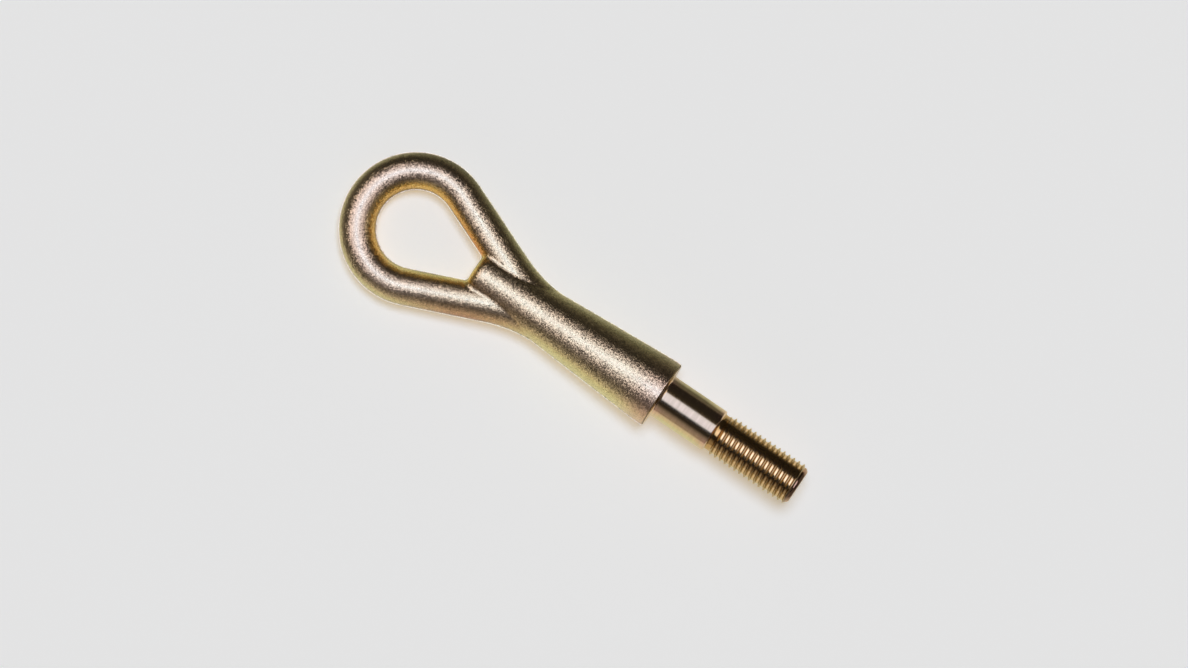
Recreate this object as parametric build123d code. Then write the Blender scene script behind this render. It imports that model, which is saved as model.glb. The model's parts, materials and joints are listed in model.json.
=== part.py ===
from build123d import *
import os
from math import radians, tan

# A screw-in tow eye: one steel drop forging, turned and threaded at its stud end.
# The origin is the centre of the shoulder face. +X runs along the axis to the threaded tip,
# the eye lies flat in the XY plane on the -X side, and +Z is up.

# Driving dimensions, in millimetres and degrees

# Eye: the loop of round bar that takes the tow hook
EYE_INNER_DIA = 27.5        # round end of the opening
EYE_BAR_DIA = 12.7          # bar that the loop is forged to
EYE_OPENING_LENGTH = 38.2   # far inside of the loop to the crotch wall
EYE_TO_SHOULDER = 102.0     # centre of the round end to the shoulder face
LEG_ANGLE = 22.4            # each straight leg to the axis
LEG_BLEND_RADIUS = 50.0     # hollow on the outer side, where a leg bends into the shank
LEG_SINK = 0.2              # depth of that side under the taper where the bend ends

# Shank: the forged taper between the eye and the shoulder
SHANK_ROOT_DIA = 15.2       # at the crotch wall
COLLAR_DIA = 24.5           # straight end of the shank, next to the shoulder
COLLAR_LENGTH = 4.3         # length of that straight end
COLLAR_EDGE = 0.4           # 45 degree break of the shoulder's rim
CROTCH_EDGE = 4.0           # rounding of the crotch wall's rim
VALLEY_FILLET = 2.0         # hollows where the legs meet the shank

# Parting line: the land left all round the forging where its flash was trimmed
LAND_WIDTH = 1.6            # across the parting plane
LAND_HEIGHT = 0.2           # proud of the forged surface

# Stud: the turned and threaded end
PILOT_DIA = 15.8            # plain length that centres the eye in its socket
PILOT_LENGTH = 22.0         # shoulder face to the undercut
PILOT_ROOT = 1.0            # 45 degree cone, pilot to shoulder face
PILOT_CHAMFER = 0.5         # pilot to undercut
UNDERCUT_DEPTH = 0.9        # run-out groove, below the smaller of pilot and thread
UNDERCUT_WIDTH = 1.7        # floor of the groove
THREAD_DIA = 15.6           # over the flat crests of an M16 x 2 thread
THREAD_LENGTH = 32.5        # undercut to the tip
TIP_CHAMFER = 1.8           # 45 degree lead-in at the tip

# Derived sizes
bar_radius = EYE_BAR_DIA / 2
loop_radius = EYE_INNER_DIA / 2 + bar_radius
crotch_x = EYE_OPENING_LENGTH - EYE_INNER_DIA / 2 - EYE_TO_SHOULDER
collar_start = -COLLAR_LENGTH
shank_taper = (COLLAR_DIA - SHANK_ROOT_DIA) / 2 / (collar_start - crotch_x)
taper_reach = COLLAR_DIA / 2 - shank_taper * collar_start  # radius of that cone at the shoulder
undercut_start = PILOT_LENGTH
undercut_end = undercut_start + UNDERCUT_WIDTH
tip_x = undercut_end + THREAD_LENGTH
undercut_radius = min(PILOT_DIA, THREAD_DIA) / 2 - UNDERCUT_DEPTH
thread_lead = THREAD_DIA / 2 - undercut_radius


def corner(face, x, y):
    """The vertex of a flat profile that lies at a place in the XY plane."""
    return face.vertices().sort_by_distance((x, y, 0))[0]


def turned_body():
    """Shank and stud as one profile above the axis, revolved about it."""
    outline = Polyline(
        (crotch_x, 0),
        (crotch_x, SHANK_ROOT_DIA / 2),
        (collar_start, COLLAR_DIA / 2),
        (0, COLLAR_DIA / 2),
        (0, PILOT_DIA / 2),
        (undercut_start, PILOT_DIA / 2),
        (undercut_start, undercut_radius),
        (undercut_end, undercut_radius),
        (undercut_end + thread_lead, THREAD_DIA / 2),
        (tip_x, THREAD_DIA / 2),
        (tip_x, 0),
        close=True,
    )
    profile = make_face(outline)
    profile = fillet(corner(profile, crotch_x, SHANK_ROOT_DIA / 2), CROTCH_EDGE)
    profile = chamfer(corner(profile, 0, COLLAR_DIA / 2), COLLAR_EDGE)
    profile = chamfer(corner(profile, 0, PILOT_DIA / 2), PILOT_ROOT)
    profile = chamfer(corner(profile, undercut_start, PILOT_DIA / 2), PILOT_CHAMFER)
    profile = chamfer(corner(profile, tip_x, THREAD_DIA / 2), TIP_CHAMFER)
    return revolve(profile, Axis.X)


def half_eye_path():
    """Centre line of the bar, from the far end of the eye along the +Y leg into the shank.

    The leg bends until it runs along the axis, and its outer side sinks into the taper there.
    """
    round_end = CenterArc((-EYE_TO_SHOULDER, 0), loop_radius, 180, -90 - LEG_ANGLE)
    leg_start = round_end @ 1
    leg_slope = tan(radians(LEG_ANGLE))
    bend_radius = LEG_BLEND_RADIUS + bar_radius
    bend_length = bend_radius * tan(radians(LEG_ANGLE / 2))
    drop = leg_start.Y + bar_radius + LEG_SINK - taper_reach
    sink_x = (leg_start.X + drop / leg_slope + bend_length) / (1 + shank_taper / leg_slope)
    sink_y = taper_reach + shank_taper * sink_x - bar_radius - LEG_SINK
    leg = FilletPolyline(
        (leg_start.X, leg_start.Y),
        (sink_x - bend_length, sink_y),
        (sink_x + EYE_BAR_DIA, sink_y),
        radius=bend_radius,
    )
    return round_end + leg


def swept_eye(section):
    """The whole loop: a section swept along one half of the eye, and its mirror image."""
    path = half_eye_path()
    half = sweep(Plane(origin=path @ 0, z_dir=path % 0, x_dir=(-1, 0, 0)) * section, path)
    return half + mirror(half, Plane.XZ)


def forging():
    """Taper, stud and loop in one, with hollows where the legs run out of the shank."""
    body = turned_body()
    eye = swept_eye(Circle(bar_radius))
    whole = body + eye
    return fillet(new_edges(body, eye, combined=whole), VALLEY_FILLET)


def parting_land():
    """Thin plate in the parting plane that stands a little proud of the forging all round."""
    wall_x = crotch_x - LAND_HEIGHT
    root_y = SHANK_ROOT_DIA / 2 + LAND_HEIGHT
    collar_y = COLLAR_DIA / 2 + LAND_HEIGHT
    taper = make_face(Polyline(
        (wall_x, root_y),
        (wall_x, -root_y),
        (collar_start, -collar_y),
        (-COLLAR_EDGE, -collar_y),
        (-COLLAR_EDGE, collar_y),
        (collar_start, collar_y),
        close=True,
    ))
    shank_plate = extrude(taper, LAND_WIDTH / 2, both=True)
    loop_plate = swept_eye(Rectangle(EYE_BAR_DIA + 2 * LAND_HEIGHT, LAND_WIDTH))
    plate = shank_plate + loop_plate
    crotch_corners = new_edges(shank_plate, loop_plate, combined=plate).filter_by(Axis.Z)
    crotch_corners = crotch_corners.filter_by_position(Axis.X, wall_x - LAND_HEIGHT, wall_x + LAND_HEIGHT)
    return fillet(crotch_corners, VALLEY_FILLET - LAND_HEIGHT)


tow_eye = forging() + parting_land()

os.makedirs("parts", exist_ok=True)
export_step(tow_eye, "parts/tow_eye.step")
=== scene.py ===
import json
from math import asin, atan2, cos, hypot, pi, radians, sin, tan

import bpy
from mathutils import Matrix, Vector


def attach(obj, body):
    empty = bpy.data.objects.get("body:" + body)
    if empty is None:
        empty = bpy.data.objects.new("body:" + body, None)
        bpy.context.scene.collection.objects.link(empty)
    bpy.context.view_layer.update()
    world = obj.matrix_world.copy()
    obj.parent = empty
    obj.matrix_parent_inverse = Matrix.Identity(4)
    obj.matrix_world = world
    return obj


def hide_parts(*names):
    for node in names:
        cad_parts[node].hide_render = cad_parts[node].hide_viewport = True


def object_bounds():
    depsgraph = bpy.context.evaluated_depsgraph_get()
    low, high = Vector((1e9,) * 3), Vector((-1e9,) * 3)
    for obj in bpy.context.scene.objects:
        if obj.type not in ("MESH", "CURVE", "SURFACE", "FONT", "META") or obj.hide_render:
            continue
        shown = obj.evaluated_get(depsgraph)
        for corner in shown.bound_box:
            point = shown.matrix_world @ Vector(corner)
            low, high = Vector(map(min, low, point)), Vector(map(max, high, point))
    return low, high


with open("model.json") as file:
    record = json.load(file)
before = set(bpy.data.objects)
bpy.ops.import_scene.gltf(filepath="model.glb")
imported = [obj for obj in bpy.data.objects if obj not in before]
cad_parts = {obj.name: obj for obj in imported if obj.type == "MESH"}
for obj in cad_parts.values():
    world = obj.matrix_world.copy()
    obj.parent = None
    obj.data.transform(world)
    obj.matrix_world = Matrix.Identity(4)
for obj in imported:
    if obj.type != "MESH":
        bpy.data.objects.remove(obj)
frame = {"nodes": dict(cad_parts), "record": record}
cad_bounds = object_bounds()

# A yellow-passivated screw-in tow eye: the forging, its turned pilot and its rolled thread.
# The model's +X runs along the axis to the threaded tip, and its origin is the shoulder face.

# Sizes, in metres and radians
MM = 0.001
mounts = {mount["name"]: mount for mount in frame["record"]["mounts"]}


def mount_span(name):
    """Where a pin mount's plain length starts and ends along X."""
    middle = mounts[name]["pos_m"][0]
    half = mounts[name]["dims"]["length_mm"] * MM / 2
    return middle - half, middle + half


PILOT_RADIUS = mounts["pilot"]["dims"]["r_mm"] * MM
THREAD_RADIUS = mounts["thread"]["dims"]["r_mm"] * MM
COLLAR_RADIUS = -cad_bounds[0].z
TIP_X = cad_bounds[1].x

# Forging
SHOULDER_RIM = 0.4 * MM             # break of the collar's rim
COLLAR_LENGTH = 4.3 * MM            # straight end of the shank
BAR_RADIUS = 6.35 * MM              # bar of the loop
LOOP_RADIUS = 20.1 * MM             # middle of that bar round the loop's centre
LOOP_FAR_X = mounts["eye"]["pos_m"][0] - LOOP_RADIUS    # the bar's middle at the loop's far end
EYE_MIDDLE = Vector((-95 * MM, 0, 0))                   # middle of the opening

# Turned stud
FACE_LIFT = 0.006 * MM              # keeps the root hollow clear of the shoulder's plane
PILOT_ROOT_RADIUS = 1.0 * MM        # hollow between shoulder face and pilot
PILOT_ROOT_ROUND = 0.98 * PILOT_ROOT_RADIUS             # leaves a short step at each end of the hollow
PILOT_CHAMFER = 0.5 * MM
PILOT_END = mount_span("pilot")[1] + PILOT_CHAMFER
UNDERCUT_RADIUS = 6.9 * MM
UNDERCUT_HOLLOW = 0.70 * MM         # rounding at the foot of the groove
TURNED_EDGE = 0.12 * MM             # rounding of the pilot's edges
SINK = 2.0 * MM                     # how far one solid runs into the next before they are united

# Rolled thread, right-handed
PITCH = 2.0 * MM
CREST_WIDTH = 0.30 * MM
ROOT_WIDTH = 0.70 * MM
FLANK_ANGLE = radians(30)
FLANK_WIDTH = (PITCH - CREST_WIDTH - ROOT_WIDTH) / 2
ROOT_RADIUS = THREAD_RADIUS - FLANK_WIDTH / tan(FLANK_ANGLE)
CREST_ROUND = 0.10 * MM
ROOT_ROUND = 0.06 * MM
CREST_AT = 24.25 * MM               # one crest on the upper side
TURNS_BEFORE = 2.5                  # turns that the winding starts before that crest
TURNS_TO_SPARE = 2                  # turns added so that it runs on past the tip
FIRST_CREST, LAST_CREST = mount_span("thread")
LEAD_START = FIRST_CREST - (THREAD_RADIUS - UNDERCUT_RADIUS)
TIP_EDGE = 0.35 * MM                # rounding where the lead-in meets the end face
BLANK_ALLOWANCE = 0.05 * MM         # the blank's radius over the crests, so that it trims only the ends
BLANK_FOOT = 2 * BLANK_ALLOWANCE    # the same over the undercut, where its cone starts

# Fineness of the mesh
SPIN_STEPS = 144
TURN_STEPS = 96
ROUNDING_STEPS = 6
SAME_PLACE = 0.003 * MM             # points this near to a corner are that corner
WELD_DISTANCE = 0.001 * MM
SMOOTH_ANGLE = radians(32)

# Coat, with painted sheen. Each coat table is a row of (lean, colour) stops; lean is 0 on level metal and
# 1 on upright metal. The colour by lean paints the overhead light's sheen: whiter on level metal, browner
# at middling lean, yellower upright.
FORGED_COAT_AND_PAINTED_SHEEN = (
    (0.0, (0.92, 0.855, 0.75)),
    (0.12, (0.86, 0.71, 0.56)),
    (0.22, (0.74, 0.555, 0.40)),
    (0.34, (0.60, 0.43, 0.245)),
    (0.50, (0.74, 0.56, 0.27)),
    (0.62, (0.74, 0.62, 0.28)),
    (0.78, (0.76, 0.69, 0.36)),
    (1.0, (0.76, 0.70, 0.40)),
)
TURNED_COAT_AND_PAINTED_SHEEN = (
    (0.0, (0.63, 0.54, 0.513)),
    (0.14, (0.63, 0.535, 0.48)),
    (0.20, (0.66, 0.43, 0.22)),
    (0.40, (0.70, 0.45, 0.27)),
    (0.50, (0.72, 0.48, 0.25)),
    (0.58, (0.74, 0.56, 0.28)),
    (0.68, (0.76, 0.63, 0.31)),
    (0.82, (0.74, 0.66, 0.38)),
)
THREAD_COAT_AND_PAINTED_SHEEN = (
    (0.0, (1.0, 0.79, 0.59)),
    (0.15, (0.76, 0.54, 0.34)),
    (0.30, (0.84, 0.51, 0.23)),
    (0.60, (0.76, 0.52, 0.25)),
    (1.0, (0.78, 0.62, 0.36)),
)
EDGE_TINT = (0.92, 0.87, 0.70)      # the coat where it is seen edge on
CLOUD_DETAIL = 1.5
FINE_PITS = 9000                    # pits of the blasted surface in a metre
COARSE_PITS = 3500

# Tints that multiply the film, and the ranges over which their masks rise
BLUSH = (1.0, 0.86, 1.04)           # pinker coat beside a turned edge
COLLAR_BLUSH_REACH = 15 * MM
COLLAR_BLUSH_ALL_ROUND = 0.5        # share of it that isn't on the near side alone
PILOT_BLUSH_REACH = 5 * MM
PILOT_FLANK = (0.25, 0.5)           # lean
NEAR_SIDE = (-0.3, -0.85)           # Y of the normal
FAR_SIDE = (0.5, 0.8)               # Y of the normal
# painted light on the pilot's far side
FAR_SIDE_PAINTED_LIGHT = (1.12, 1.12, 1.12)
RIM_REACH = 3 * SHOULDER_RIM
RIM_FACING = (0.3, 0.6)             # X of the normal
# painted shade on the collar's rim
RIM_PAINTED_SHADE = (0.30, 0.25, 0.22)
LOOP_BLUSH_X = -125 * MM
LOOP_BLUSH_REACH = 60 * MM
LOOP_BLUSH = (0.93, 0.90, 1.0)
FORK_BLUSH_X = -72 * MM
FORK_BLUSH_REACH = 32 * MM
FORK_BLUSH = (0.69, 0.42, 0.50)

# Inside of the loop, with painted reflection and painted shade: the masks go by the normal's share along
# the way out from the opening's middle
INSIDE = (-0.20, -0.60)
INSIDE_PAINTED_GOLD_REFLECTION = (1.0, 0.65, 0.20)
INSIDE_PAINTED_OLIVE_REFLECTION = (0.74, 0.65, 0.25)   # on the sides that face the far leg
TO_FAR_LEG = Vector((-0.7, 0.7, 0))
FACES_FAR_LEG = (0.2, 0.7)
STEEP_INSIDE = (-0.72, -0.95)
# painted shade on the steepest inside of the loop
STEEP_PAINTED_SHADE = (0.38, 0.37, 0.37)

# Turning marks of the pilot, which run round it
MARK_STRETCH = (1, 0.02, 0.02)
MARK_SCALE = 1500
MARK_DETAIL = 3.0
MARK_RANGE = (0.3, 0.7)
MARK_TONES = (0.9, 1.06)

# Thread: painted shade that darkens the flanks and crests much more than the roots
ROOT_TO_FLANK = (ROOT_RADIUS + 0.06 * MM, ROOT_RADIUS + 0.2 * MM)
ROOT_TO_FLANK_PAINTED_SHADE = (0.92, 0.66)
UNDERCUT_TO_LEAD = (LEAD_START - 0.2 * MM, LEAD_START + 0.4 * MM)
# painted shade in the undercut's groove
UNDERCUT_PAINTED_SHADE = (0.82, 0.72, 0.54)
CREST_TO_TIP = (LAST_CREST, LAST_CREST + 0.4 * MM)
# pinker coat with painted shade on the tip's lead-in
TIP_PINK_AND_PAINTED_SHADE = (0.66, 0.55, 0.66)

# Picture
AXIS_ANGLE = radians(34)            # the tow eye's axis below the picture's horizontal
PICTURE_WIDTH_PX = 1188
PICTURE_HEIGHT_PX = 668
SHOULDER_PX = (662.1, 395.35)       # where the shoulder's centre lies in the picture
MM_PER_PX = 0.34276
CAMERA_HEIGHT = 3.0
CAMERA_CLIP = 0.01
SENSOR_WIDTH_MM = 36

# Paper
FLOOR_SIZE = 8.0
PAPER = 0.768                       # brightness of the pale ground in the picture
PAPER_GLOW = (0.455, 0.383, 0.273)  # warm part of it that no shadow takes away
PAPER_WHITENESS = 0.86
PAPER_LIGHT = (0.585, 0.749, 1.0)   # cool window light that makes up the rest
PAPER_LIGHT_STRENGTH = 1.66
PAPER_LIGHT_LEAN = radians(11)      # from overhead towards +Y
PAPER_LIGHT_SPREAD = radians(22)
FAR_SIDE_DIM = (-2 * MM, 40 * MM)           # +Y range over which metal sees the paper grow dim
FAR_SIDE_OPENING = 2.2                      # how fast that range moves out beside the thread
FAR_SIDE_OPENS = 18 * MM                    # X from which it does
BEYOND_LOOP_DIM = (-124 * MM, -150 * MM)    # the same past the far end of the loop
BEYOND_TIP_DIM = (70 * MM, 95 * MM)         # and past the tip
PAPER_DIM = 0.16

# Softboxes and room
SOFTBOX_OVER = Vector((-40 * MM, 0, 0))     # the place on the axis that they hang over
SOFTBOX_HEIGHT = 1.2
# Reach of each softbox from there in the picture, as shares of its height: left, right, bottom, top
SOFTBOXES = ((-1.75, 1.0, -0.30, 0.36), (-1.75, -0.02, 0.36, 1.0))
SOFTBOX_BRIGHTNESS = 1.2
ROOM_DIM = 0.023
ROOM_BRIGHT = 0.45                  # low down on the near side
ROOM_BRIGHT_SIDE = Vector((0.2, -0.97, 0.1))
ROOM_BRIGHT_RANGE = (0.74, 1.05)    # cosine to that side over which it grows bright
ROOM_GLOW = 0.14                    # added high up beyond the tip
ROOM_GLOW_SIDE = Vector((0.78, 0.12, 0.61))
ROOM_GLOW_RANGE = (0.7, 1.0)        # the same for the glow


def deselect_all():
    """Leaves nothing selected."""
    bpy.ops.object.select_all(action='DESELECT')


def activate(piece):
    """Selects one object alone."""
    deselect_all()
    piece.select_set(True)
    bpy.context.view_layer.objects.active = piece


def start_edit(piece, kind):
    """Opens an object in edit mode with everything deselected."""
    activate(piece)
    bpy.ops.object.mode_set(mode='EDIT')
    bpy.ops.mesh.select_mode(type=kind)
    bpy.ops.mesh.select_all(action='DESELECT')


def end_edit():
    """Back to object mode."""
    bpy.ops.object.mode_set(mode='OBJECT')


def select_faces(piece, wanted):
    """Opens an object with the faces selected whose centre meets a test."""
    start_edit(piece, 'FACE')
    end_edit()
    for face in piece.data.polygons:
        face.select = wanted(face.center)
    bpy.ops.object.mode_set(mode='EDIT')


def select_points(piece, wanted):
    """Opens an object with the points selected whose place meets a test."""
    start_edit(piece, 'VERT')
    end_edit()
    for point in piece.data.vertices:
        point.select = wanted(point.co)
    bpy.ops.object.mode_set(mode='EDIT')


def weld(piece):
    """Merges points that share a place and turns all faces outward."""
    start_edit(piece, 'VERT')
    bpy.ops.mesh.select_all(action='SELECT')
    bpy.ops.mesh.remove_doubles(threshold=WELD_DISTANCE)
    bpy.ops.mesh.normals_make_consistent(inside=False)
    end_edit()


def profile_line(name, corners):
    """A line of edges in the XZ plane through its corners, drawn on from a plane merged into a point.

    Each corner is (x, radius, rounding), and a rounding of 0 leaves it sharp.
    """
    deselect_all()
    first = corners[0]
    bpy.ops.mesh.primitive_plane_add(size=PITCH, location=(0, 0, 0))
    line = bpy.context.object
    line.name = name
    start_edit(line, 'VERT')
    bpy.ops.mesh.select_all(action='SELECT')
    bpy.ops.mesh.merge(type='CENTER')
    bpy.ops.transform.translate(value=(first[0], 0, first[1]))
    for here, there in zip(corners, corners[1:]):
        step = (there[0] - here[0], 0, there[1] - here[1])
        bpy.ops.mesh.extrude_vertices_move(TRANSFORM_OT_translate={"value": step})
    end_edit()
    for x, radius, rounding in corners:
        if rounding:
            place = Vector((x, 0, radius))
            select_points(line, lambda co: (co - place).length < SAME_PLACE)
            bpy.ops.mesh.bevel(offset=rounding, offset_type='OFFSET', segments=ROUNDING_STEPS,
                               affect='VERTICES')
            end_edit()
    return line


def spun(name, corners):
    """A closed solid of revolution about the X axis."""
    solid = profile_line(name, corners)
    start_edit(solid, 'VERT')
    bpy.ops.mesh.select_all(action='SELECT')
    bpy.ops.mesh.spin(steps=SPIN_STEPS, angle=2 * pi, center=(0, 0, 0), axis=(1, 0, 0))
    end_edit()
    weld(solid)
    return solid


def combine(solid, tool, operation):
    """Boolean of two closed solids; the tool is used up."""
    activate(solid)
    change = solid.modifiers.new(operation.lower(), 'BOOLEAN')
    change.operation = operation
    change.object = tool
    change.solver = 'MANIFOLD'
    bpy.ops.object.modifier_apply(modifier=change.name)
    bpy.data.objects.remove(tool, do_unlink=True)
    return solid


def bare_forging():
    """The forged part of the CAD solid, closed at the shoulder face."""
    mesh = frame["nodes"]["tow_eye"].data.copy()
    forging = bpy.data.objects.new("forged_tow_eye", mesh)
    bpy.context.scene.collection.objects.link(forging)
    activate(forging)
    bpy.ops.mesh.customdata_custom_splitnormals_clear()
    weld(forging)
    select_faces(forging, lambda centre: centre.x > FACE_LIFT)
    bpy.ops.mesh.delete(type='FACE')
    bpy.ops.mesh.select_mode(type='EDGE')
    bpy.ops.mesh.select_non_manifold(extend=False)
    bpy.ops.mesh.edge_face_add()
    end_edit()
    return forging


def turned_stud():
    """Pilot with its root hollow, and the neck of the undercut that carries the thread."""
    hollow_radius = PILOT_RADIUS + PILOT_ROOT_RADIUS
    neck_end = LEAD_START + SINK
    return spun("stud", (
        (-SINK, 0, 0),
        (-SINK, hollow_radius, 0),
        (FACE_LIFT, hollow_radius, 0),
        (FACE_LIFT, PILOT_RADIUS, PILOT_ROOT_ROUND),
        (PILOT_END - PILOT_CHAMFER, PILOT_RADIUS, TURNED_EDGE),
        (PILOT_END, PILOT_RADIUS - PILOT_CHAMFER, TURNED_EDGE),
        (PILOT_END, UNDERCUT_RADIUS, UNDERCUT_HOLLOW),
        (neck_end, UNDERCUT_RADIUS, 0),
        (neck_end, 0, 0),
    ))


def thread_blank():
    """Envelope of the thread: a bar with a lead cone at each end."""
    radius = THREAD_RADIUS + BLANK_ALLOWANCE
    foot = UNDERCUT_RADIUS + BLANK_FOOT
    return spun("blank", (
        (LEAD_START, 0, 0),
        (LEAD_START, foot, 0),
        (LEAD_START + radius - foot, radius, 0),
        (LAST_CREST - BLANK_ALLOWANCE, radius, 0),
        (TIP_X, THREAD_RADIUS - (TIP_X - LAST_CREST), TIP_EDGE),
        (TIP_X, 0, 0),
    ))


def cap_end(rod, wanted):
    """Closes the open end of a wound rod whose edges' x meets a test."""
    start_edit(rod, 'EDGE')
    bpy.ops.mesh.select_non_manifold(extend=False)
    end_edit()
    for edge in rod.data.edges:
        edge_x = rod.data.vertices[edge.vertices[0]].co.x
        edge.select = edge.select and wanted(edge_x)
    bpy.ops.object.mode_set(mode='EDIT')
    bpy.ops.mesh.extrude_edges_move()
    bpy.ops.mesh.merge(type='CENTER')
    end_edit()


def rolled_thread():
    """One pitch of the thread's profile wound along the axis, trimmed by its blank."""
    start = CREST_AT - TURNS_BEFORE * PITCH
    crest = start + ROOT_WIDTH / 2 + FLANK_WIDTH
    rod = profile_line("thread", (
        (start, ROOT_RADIUS, 0),
        (start + ROOT_WIDTH / 2, ROOT_RADIUS, ROOT_ROUND),
        (crest, THREAD_RADIUS, CREST_ROUND),
        (crest + CREST_WIDTH, THREAD_RADIUS, CREST_ROUND),
        (start + PITCH - ROOT_WIDTH / 2, ROOT_RADIUS, ROOT_ROUND),
        (start + PITCH, ROOT_RADIUS, 0),
    ))
    turns = int((TIP_X - start) / PITCH) + TURNS_TO_SPARE
    activate(rod)
    winding = rod.modifiers.new("winding", 'SCREW')
    winding.axis = 'X'
    winding.angle = 2 * pi
    winding.screw_offset = PITCH
    winding.iterations = turns
    winding.steps = TURN_STEPS
    winding.render_steps = TURN_STEPS
    bpy.ops.object.modifier_apply(modifier=winding.name)
    weld(rod)
    middle = start + turns * PITCH / 2
    cap_end(rod, lambda x: x < middle)
    cap_end(rod, lambda x: x > middle)
    weld(rod)
    return combine(rod, thread_blank(), 'INTERSECT')


def finished_eye():
    """The whole tow eye as one closed mesh."""
    stud = combine(turned_stud(), rolled_thread(), 'UNION')
    whole = combine(bare_forging(), stud, 'UNION')
    weld(whole)
    activate(whole)
    bpy.ops.object.shade_smooth_by_angle(angle=SMOOTH_ANGLE)
    return whole


eye = finished_eye()
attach(eye, "root")
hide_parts("tow_eye")


def put(tree, slot, value):
    """Joins a socket to an input, or sets the input to a number, vector or colour."""
    if isinstance(value, bpy.types.NodeSocket):
        tree.links.new(value, slot)
    else:
        slot.default_value = value


def fill(tree, slots, values):
    """Joins or sets inputs in their order."""
    for slot, value in zip(slots, values):
        put(tree, slot, value)


def node(tree, kind, values=None, **settings):
    """A shader node with its settings, and some of its inputs joined or set by socket name."""
    made = tree.nodes.new(kind)
    for name, value in settings.items():
        setattr(made, name, value)
    for name, value in (values or {}).items():
        put(tree, made.inputs[name], value)
    return made


def calc(tree, operation, *operands):
    """A Math node."""
    made = node(tree, 'ShaderNodeMath', operation=operation)
    fill(tree, made.inputs, operands)
    return made.outputs[0]


def vector_calc(tree, operation, *operands, result="Vector"):
    """A Vector Math node."""
    made = node(tree, 'ShaderNodeVectorMath', operation=operation)
    fill(tree, made.inputs, operands)
    return made.outputs[result]


def dot(tree, *vectors):
    """Dot product of two vectors."""
    return vector_calc(tree, 'DOT_PRODUCT', *vectors, result="Value")


def scaled(tree, vector, factor):
    """A vector times a number."""
    made = node(tree, 'ShaderNodeVectorMath', {"Scale": factor}, operation='SCALE')
    put(tree, made.inputs[0], vector)
    return made.outputs["Vector"]


def split(tree, vector):
    """X, Y and Z of a vector."""
    return node(tree, 'ShaderNodeSeparateXYZ', {"Vector": vector}).outputs


def map_range(tree, value, low, high, to_low=0.0, to_high=1.0, interpolation='LINEAR'):
    """A value carried from one range to another, and held at the ends."""
    ends = {"Value": value, "From Min": low, "From Max": high, "To Min": to_low, "To Max": to_high}
    return node(tree, 'ShaderNodeMapRange', ends, interpolation_type=interpolation).outputs["Result"]


def colour_ramp(tree, value, stops):
    """Colours along a value, given as (place, colour) stops."""
    made = node(tree, 'ShaderNodeValToRGB', {"Fac": value})
    elements = made.color_ramp.elements
    while len(elements) < len(stops):
        elements.new(0.5)
    for element, (place, colour) in zip(elements, stops):
        element.position = place
        element.color = (*colour, 1)
    return made.outputs["Color"]


def mix_colour(tree, mask, under, over, blend='MIX'):
    """One colour laid over another by a mask."""
    made = node(tree, 'ShaderNodeMix', data_type='RGBA', blend_type=blend)
    colour_slots = [slot for slot in made.inputs if slot.type == 'RGBA']
    fill(tree, [made.inputs[0], *colour_slots], (mask, under, over))
    return [slot for slot in made.outputs if slot.type == 'RGBA'][0]


def tinted(tree, coat_and_painted_light, mask, tint):
    """A film multiplied by a tint where a mask is."""
    return mix_colour(tree, mask, coat_and_painted_light, (*tint, 1), 'MULTIPLY')


def toned(tree, coat_and_painted_light, tone):
    """A film made lighter or darker all over by a number that changes over the surface."""
    return mix_colour(tree, 1.0, coat_and_painted_light, tone, 'MULTIPLY')


def node_group(name, inputs, outputs):
    """An empty shader node group; its sockets are numbers, apart from a Normal."""
    tree = bpy.data.node_groups.new(name, 'ShaderNodeTree')
    for in_out, sockets in (('INPUT', inputs), ('OUTPUT', outputs)):
        for socket in sockets:
            kind = 'NodeSocketVector' if socket == "Normal" else 'NodeSocketFloat'
            tree.interface.new_socket(socket, in_out=in_out, socket_type=kind)
    return tree, node(tree, 'NodeGroupInput').outputs, node(tree, 'NodeGroupOutput').inputs


def use_group(tree, group, **values):
    """A node that carries a group, with its inputs set by name: cloud_scale sets Cloud Scale."""
    made = node(tree, 'ShaderNodeGroup', node_tree=group)
    for name, value in values.items():
        made.inputs[name.replace("_", " ").title()].default_value = value
    return made.outputs


def film_angle_group():
    """How far the coat leans from level, 0 level and 1 upright, with slow wandering."""
    tree, given, result = node_group("film_angle", ("Wander", "Cloud Scale"), ("Angle",))
    place = node(tree, 'ShaderNodeTexCoord').outputs
    level = calc(tree, 'MINIMUM', calc(tree, 'ABSOLUTE', split(tree, place["Normal"])["Z"]), 1.0)
    lean = calc(tree, 'MULTIPLY', calc(tree, 'ARCCOSINE', level), 2 / pi)
    cloud = node(tree, 'ShaderNodeTexNoise',
                 {"Vector": place["Object"], "Scale": given["Cloud Scale"], "Detail": CLOUD_DETAIL})
    drift = calc(tree, 'MULTIPLY', calc(tree, 'SUBTRACT', cloud.outputs[0], 0.5), given["Wander"])
    put(tree, result["Angle"], calc(tree, 'ADD', lean, drift))
    return tree


def coat_band_group():
    """Mask of a band of the coat that fades out on both sides of one X."""
    tree, given, result = node_group("coat_band", ("Middle", "Reach"), ("Mask",))
    place = node(tree, 'ShaderNodeTexCoord').outputs
    away = calc(tree, 'SUBTRACT', split(tree, place["Object"])["X"], given["Middle"])
    share = calc(tree, 'DIVIDE', calc(tree, 'ABSOLUTE', away), given["Reach"])
    put(tree, result["Mask"], map_range(tree, share, 0, 1, 1, 0, 'SMOOTHSTEP'))
    return tree


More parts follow.
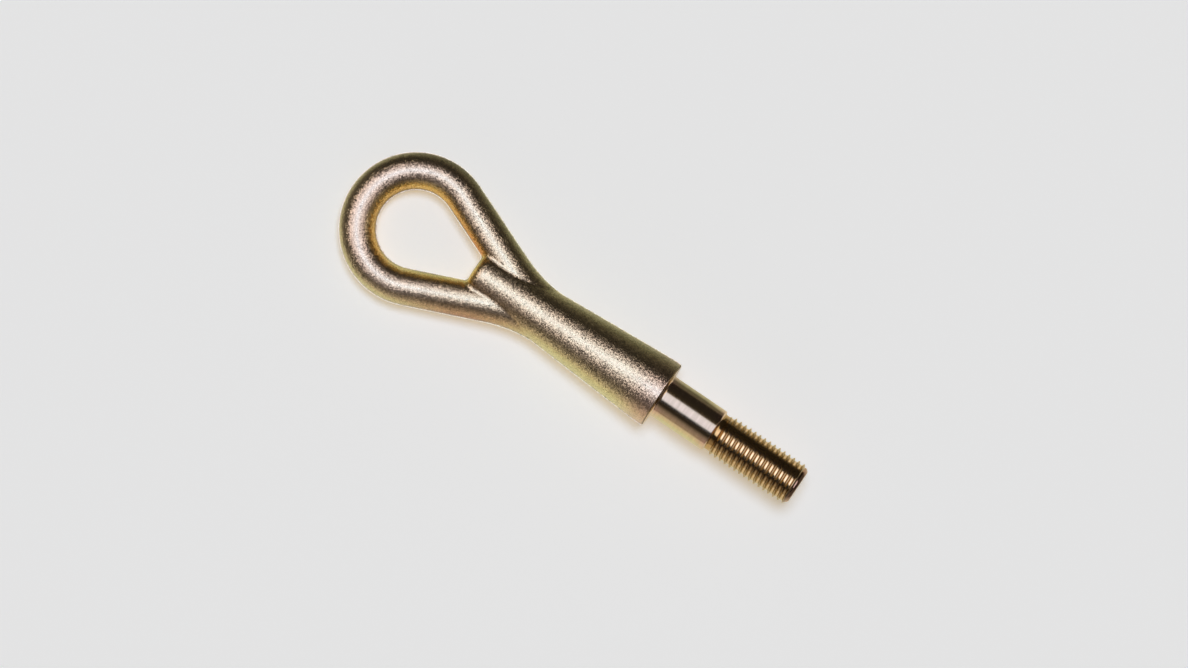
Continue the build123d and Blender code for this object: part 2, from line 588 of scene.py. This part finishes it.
def blast_grain_group():
    """Facets that shot blasting leaves: leaning normals, and a tone that differs from pit to pit."""
    tree, given, result = node_group("blast_grain", ("Fine", "Coarse", "Contrast"), ("Normal", "Tone"))
    place = node(tree, 'ShaderNodeTexCoord').outputs
    normal = node(tree, 'ShaderNodeNewGeometry').outputs["Normal"]
    for scale, amount in ((FINE_PITS, "Fine"), (COARSE_PITS, "Coarse")):
        pits = node(tree, 'ShaderNodeTexVoronoi', {"Vector": place["Object"], "Scale": scale}).outputs
        lean = vector_calc(tree, 'SUBTRACT', pits["Color"], (0.5, 0.5, 0.5))
        normal = vector_calc(tree, 'ADD', normal, scaled(tree, lean, given[amount]))
    put(tree, result["Normal"], vector_calc(tree, 'NORMALIZE', normal))
    coarse_pit = calc(tree, 'SUBTRACT', split(tree, pits["Color"])["X"], 0.5)
    spread = calc(tree, 'MULTIPLY', coarse_pit, given["Contrast"])
    put(tree, result["Tone"], calc(tree, 'ADD', spread, 1.0))
    return tree


film_angle = film_angle_group()
coat_band = coat_band_group()
blast_grain = blast_grain_group()


def plated_metal(name, roughness):
    """A metal material with its tree and shader's inputs."""
    material = bpy.data.materials.new(name)
    material.use_nodes = True
    shader = material.node_tree.nodes["Principled BSDF"].inputs
    shader["Metallic"].default_value = 1
    shader["Roughness"].default_value = roughness
    shader["Specular Tint"].default_value = (*EDGE_TINT, 1)
    return material, material.node_tree, shader


def forged_steel():
    """Shot-blasted forging under a yellow passivated zinc coat, with painted sheen, painted shade and
    painted reflection in its colour.
    """
    material, tree, shader = plated_metal("forged_plating", roughness=0.28)
    angle = use_group(tree, film_angle, wander=0.06, cloud_scale=60)["Angle"]
    coat_and_painted_light = colour_ramp(tree, angle, FORGED_COAT_AND_PAINTED_SHEEN)
    place = node(tree, 'ShaderNodeTexCoord').outputs
    normal = split(tree, place["Normal"])
    near_side = map_range(tree, normal["Y"], *NEAR_SIDE)

    # Collar: pinker towards the shoulder, most of all on the near side, and painted shade on its rim
    collar = use_group(tree, coat_band, middle=0, reach=COLLAR_BLUSH_REACH)["Mask"]
    coat_and_painted_light = tinted(tree, coat_and_painted_light, calc(tree, 'MULTIPLY', collar, COLLAR_BLUSH_ALL_ROUND), BLUSH)
    coat_and_painted_light = tinted(tree, coat_and_painted_light, calc(tree, 'MULTIPLY', collar, near_side), BLUSH)
    at_shoulder = use_group(tree, coat_band, middle=0, reach=RIM_REACH)["Mask"]
    painted_rim_shade = calc(tree, 'MULTIPLY', at_shoulder, map_range(tree, normal["X"], *RIM_FACING))
    coat_and_painted_light = tinted(tree, coat_and_painted_light, painted_rim_shade, RIM_PAINTED_SHADE)

    # Inside of the loop: painted golden or olive reflection, and painted shade where it is steepest
    way_out = vector_calc(tree, 'NORMALIZE', vector_calc(tree, 'SUBTRACT', place["Object"], EYE_MIDDLE))
    outward = dot(tree, way_out, place["Normal"])
    faces_far_leg = map_range(tree, dot(tree, place["Normal"], TO_FAR_LEG), *FACES_FAR_LEG)
    inside_painted_reflection = mix_colour(tree, faces_far_leg, (*INSIDE_PAINTED_GOLD_REFLECTION, 1), (*INSIDE_PAINTED_OLIVE_REFLECTION, 1))
    coat_and_painted_light = mix_colour(tree, map_range(tree, outward, *INSIDE), coat_and_painted_light, inside_painted_reflection)
    coat_and_painted_light = tinted(tree, coat_and_painted_light, map_range(tree, outward, *STEEP_INSIDE), STEEP_PAINTED_SHADE)

    # Pinker loop, and a pinker near side under the fork
    loop = use_group(tree, coat_band, middle=LOOP_BLUSH_X, reach=LOOP_BLUSH_REACH)["Mask"]
    coat_and_painted_light = tinted(tree, coat_and_painted_light, loop, LOOP_BLUSH)
    fork = use_group(tree, coat_band, middle=FORK_BLUSH_X, reach=FORK_BLUSH_REACH)["Mask"]
    coat_and_painted_light = tinted(tree, coat_and_painted_light, calc(tree, 'MULTIPLY', fork, near_side), FORK_BLUSH)

    grain = use_group(tree, blast_grain, fine=0.12, coarse=0.38, contrast=0.6)
    put(tree, shader["Base Color"], toned(tree, coat_and_painted_light, grain["Tone"]))
    put(tree, shader["Normal"], grain["Normal"])
    return material


def turned_steel():
    """Smooth turned pilot under the same coat, whose tints show as bands along it, with painted sheen and
    painted light on its far side.
    """
    material, tree, shader = plated_metal("turned_plating", roughness=0.17)
    angle = use_group(tree, film_angle, wander=0.05, cloud_scale=110)["Angle"]
    coat_and_painted_light = colour_ramp(tree, angle, TURNED_COAT_AND_PAINTED_SHEEN)
    flank = map_range(tree, angle, *PILOT_FLANK)
    for edge in (0, PILOT_END):
        blush = use_group(tree, coat_band, middle=edge, reach=PILOT_BLUSH_REACH)["Mask"]
        coat_and_painted_light = tinted(tree, coat_and_painted_light, calc(tree, 'MULTIPLY', blush, flank), BLUSH)
    place = node(tree, 'ShaderNodeTexCoord').outputs
    # Painted light: the pilot's far side is made lighter.
    far_side = map_range(tree, split(tree, place["Normal"])["Y"], *FAR_SIDE)
    coat_and_painted_light = tinted(tree, coat_and_painted_light, far_side, FAR_SIDE_PAINTED_LIGHT)
    along = vector_calc(tree, 'MULTIPLY', place["Object"], MARK_STRETCH)
    marks = node(tree, 'ShaderNodeTexNoise', {"Vector": along, "Scale": MARK_SCALE, "Detail": MARK_DETAIL})
    tone = map_range(tree, marks.outputs[0], *MARK_RANGE, *MARK_TONES)
    put(tree, shader["Base Color"], toned(tree, coat_and_painted_light, tone))
    return material


def threaded_steel():
    """Undercut and rolled thread, where the coat is more golden, with painted sheen and painted shade."""
    material, tree, shader = plated_metal("thread_plating", roughness=0.13)
    angle = use_group(tree, film_angle, wander=0.10, cloud_scale=150)["Angle"]
    coat_and_painted_light = colour_ramp(tree, angle, THREAD_COAT_AND_PAINTED_SHEEN)
    place = split(tree, node(tree, 'ShaderNodeTexCoord').outputs["Object"])
    squares = [calc(tree, 'MULTIPLY', place[side], place[side]) for side in ("Y", "Z")]
    radius = calc(tree, 'SQRT', calc(tree, 'ADD', *squares))
    # Painted shade on the thread's flanks and crests.
    coat_and_painted_light = toned(tree, coat_and_painted_light, map_range(tree, radius, *ROOT_TO_FLANK, *ROOT_TO_FLANK_PAINTED_SHADE))
    # Painted shade in the undercut's groove.
    in_undercut = map_range(tree, place["X"], *UNDERCUT_TO_LEAD, 1, 0)
    coat_and_painted_light = tinted(tree, coat_and_painted_light, in_undercut, UNDERCUT_PAINTED_SHADE)
    # Pinker coat with painted shade on the tip's lead-in.
    at_tip = map_range(tree, place["X"], *CREST_TO_TIP)
    coat_and_painted_light = tinted(tree, coat_and_painted_light, at_tip, TIP_PINK_AND_PAINTED_SHADE)
    put(tree, shader["Base Color"], coat_and_painted_light)
    return material


FORGED, TURNED, THREADED = range(3)
eye.data.materials.clear()
for coat in (forged_steel(), turned_steel(), threaded_steel()):
    eye.data.materials.append(coat)
for face in eye.data.polygons:
    if face.center.x > PILOT_END - FACE_LIFT:
        face.material_index = THREADED
    elif face.center.x > -FACE_LIFT:
        face.material_index = TURNED
    else:
        face.material_index = FORGED


# Stage: the eye lies on its collar and on the far end of its loop
bar_to_collar = -COLLAR_LENGTH - LOOP_FAR_X
rest_lean = atan2(COLLAR_RADIUS, bar_to_collar) - asin(BAR_RADIUS / hypot(bar_to_collar, COLLAR_RADIUS))
collar_rest = Vector((-COLLAR_LENGTH, 0, -COLLAR_RADIUS))
rest_line = Vector((cos(rest_lean), 0, -sin(rest_lean)))
across = Vector((0, 1, 0))
ground_up = rest_line.cross(across)
picture_right = rest_line * cos(AXIS_ANGLE) + across * sin(AXIS_ANGLE)
picture_up = across * cos(AXIS_ANGLE) - rest_line * sin(AXIS_ANGLE)


def facing(right, up):
    """The turn that lays X along one way and Y along another, with Z up from the ground."""
    return Matrix((right, up, ground_up)).transposed().to_4x4()


def floor_material():
    """Pale paper that keeps a soft shadow; metal sees it dimmer on three sides, as if flagged."""
    material = bpy.data.materials.new("paper")
    material.use_nodes = True
    tree = material.node_tree
    shader = tree.nodes["Principled BSDF"]
    shader.inputs["Base Color"].default_value = (PAPER_WHITENESS, PAPER_WHITENESS, PAPER_WHITENESS, 1)
    shader.inputs["Roughness"].default_value = 1
    shader.inputs["Specular IOR Level"].default_value = 0
    shader.inputs["Emission Color"].default_value = (*PAPER_GLOW, 1)
    path = node(tree, 'ShaderNodeLightPath').outputs
    seen = calc(tree, 'MAXIMUM', path["Is Camera Ray"], path["Is Glossy Ray"])
    seen = calc(tree, 'MAXIMUM', seen, path["Is Transmission Ray"])
    put(tree, shader.inputs["Emission Strength"], seen)
    place = split(tree, node(tree, 'ShaderNodeTexCoord').outputs["Object"])
    past_pilot = calc(tree, 'MAXIMUM', calc(tree, 'SUBTRACT', place["X"], FAR_SIDE_OPENS), 0.0)
    far_side = calc(tree, 'SUBTRACT', place["Y"], calc(tree, 'MULTIPLY', past_pilot, FAR_SIDE_OPENING))
    bright = map_range(tree, far_side, *FAR_SIDE_DIM, 1, PAPER_DIM)
    for beyond in (BEYOND_LOOP_DIM, BEYOND_TIP_DIM):
        bright = calc(tree, 'MULTIPLY', bright, map_range(tree, place["X"], *beyond, 1, PAPER_DIM))
    flagged = calc(tree, 'MULTIPLY', path["Is Glossy Ray"], calc(tree, 'SUBTRACT', 1.0, bright))
    dark = node(tree, 'ShaderNodeEmission', {"Color": (0, 0, 0, 1)})
    mixed = node(tree, 'ShaderNodeMixShader')
    fill(tree, mixed.inputs, (flagged, shader.outputs["BSDF"], dark.outputs["Emission"]))
    put(tree, tree.nodes["Material Output"].inputs["Surface"], mixed.outputs["Shader"])
    return material


def stage_floor():
    """A plane under the collar and the loop."""
    deselect_all()
    bpy.ops.mesh.primitive_plane_add(size=FLOOR_SIZE)
    floor = bpy.context.object
    floor.name = "floor"
    floor.matrix_world = Matrix.Translation(collar_rest) @ facing(rest_line, across)
    floor.data.materials.append(floor_material())


def add_lamp(name, kind, matrix):
    """A lamp that the camera doesn't show."""
    data = bpy.data.lights.new(name, kind)
    lamp = bpy.data.objects.new(name, data)
    bpy.context.scene.collection.objects.link(lamp)
    lamp.matrix_world = matrix
    lamp.visible_camera = False
    return lamp


def softboxes():
    """Wide soft light overhead for the metal, which reaches further to the picture's upper left."""
    for left, right, bottom, top in SOFTBOXES:
        place = SOFTBOX_OVER + ground_up * SOFTBOX_HEIGHT
        place += picture_right * SOFTBOX_HEIGHT * (left + right) / 2
        place += picture_up * SOFTBOX_HEIGHT * (bottom + top) / 2
        lamp = add_lamp("softbox", 'AREA', Matrix.Translation(place) @ facing(picture_right, picture_up))
        lamp.visible_diffuse = False
        lamp.data.shape = 'RECTANGLE'
        lamp.data.size = SOFTBOX_HEIGHT * (right - left)
        lamp.data.size_y = SOFTBOX_HEIGHT * (top - bottom)
        lamp.data.energy = SOFTBOX_BRIGHTNESS * pi * lamp.data.size * lamp.data.size_y


def paper_light():
    """Window light that gives the paper its soft shadow; metal doesn't mirror it."""
    lamp = add_lamp("window", 'SUN', Matrix.Rotation(-PAPER_LIGHT_LEAN, 4, 'X'))
    lamp.visible_glossy = False
    lamp.data.angle = PAPER_LIGHT_SPREAD
    lamp.data.color = PAPER_LIGHT
    lamp.data.energy = PAPER_LIGHT_STRENGTH


def camera():
    """Looks straight down on the ground, with the tow eye's axis at its slope in the picture."""
    px = MM_PER_PX * MM
    centre = picture_right * (PICTURE_WIDTH_PX / 2 - SHOULDER_PX[0]) * px
    centre += picture_up * (SHOULDER_PX[1] - PICTURE_HEIGHT_PX / 2) * px
    data = bpy.data.cameras.new("camera")
    data.sensor_width = SENSOR_WIDTH_MM
    data.lens = CAMERA_HEIGHT * SENSOR_WIDTH_MM / (px * PICTURE_WIDTH_PX)
    data.clip_start = CAMERA_CLIP
    made = bpy.data.objects.new("camera", data)
    bpy.context.scene.collection.objects.link(made)
    above = Matrix.Translation(centre + ground_up * CAMERA_HEIGHT)
    made.matrix_world = above @ facing(picture_right, picture_up)
    bpy.context.scene.camera = made


def surroundings():
    """Dim room, brighter low down on the near side and high up beyond the tip, and pale to the camera."""
    world = bpy.data.worlds.new("room")
    bpy.context.scene.world = world
    world.use_nodes = True
    tree = world.node_tree
    direction = node(tree, 'ShaderNodeTexCoord').outputs["Generated"]
    near_side = dot(tree, direction, ROOM_BRIGHT_SIDE)
    room = map_range(tree, near_side, *ROOM_BRIGHT_RANGE, ROOM_DIM, ROOM_BRIGHT, 'SMOOTHSTEP')
    beyond_tip = dot(tree, direction, ROOM_GLOW_SIDE)
    glow = map_range(tree, beyond_tip, *ROOM_GLOW_RANGE, 0, ROOM_GLOW, 'SMOOTHSTEP')
    room = calc(tree, 'ADD', room, glow)
    to_camera = node(tree, 'ShaderNodeLightPath').outputs["Is Camera Ray"]
    pick = node(tree, 'ShaderNodeMix', {"Factor": to_camera, "A": room, "B": PAPER}, data_type='FLOAT')
    back = tree.nodes["Background"]
    back.inputs["Color"].default_value = (1, 1, 1, 1)
    put(tree, back.inputs["Strength"], pick.outputs["Result"])


stage_floor()
softboxes()
paper_light()
camera()
surroundings()
bpy.context.scene.view_settings.view_transform = 'Standard'
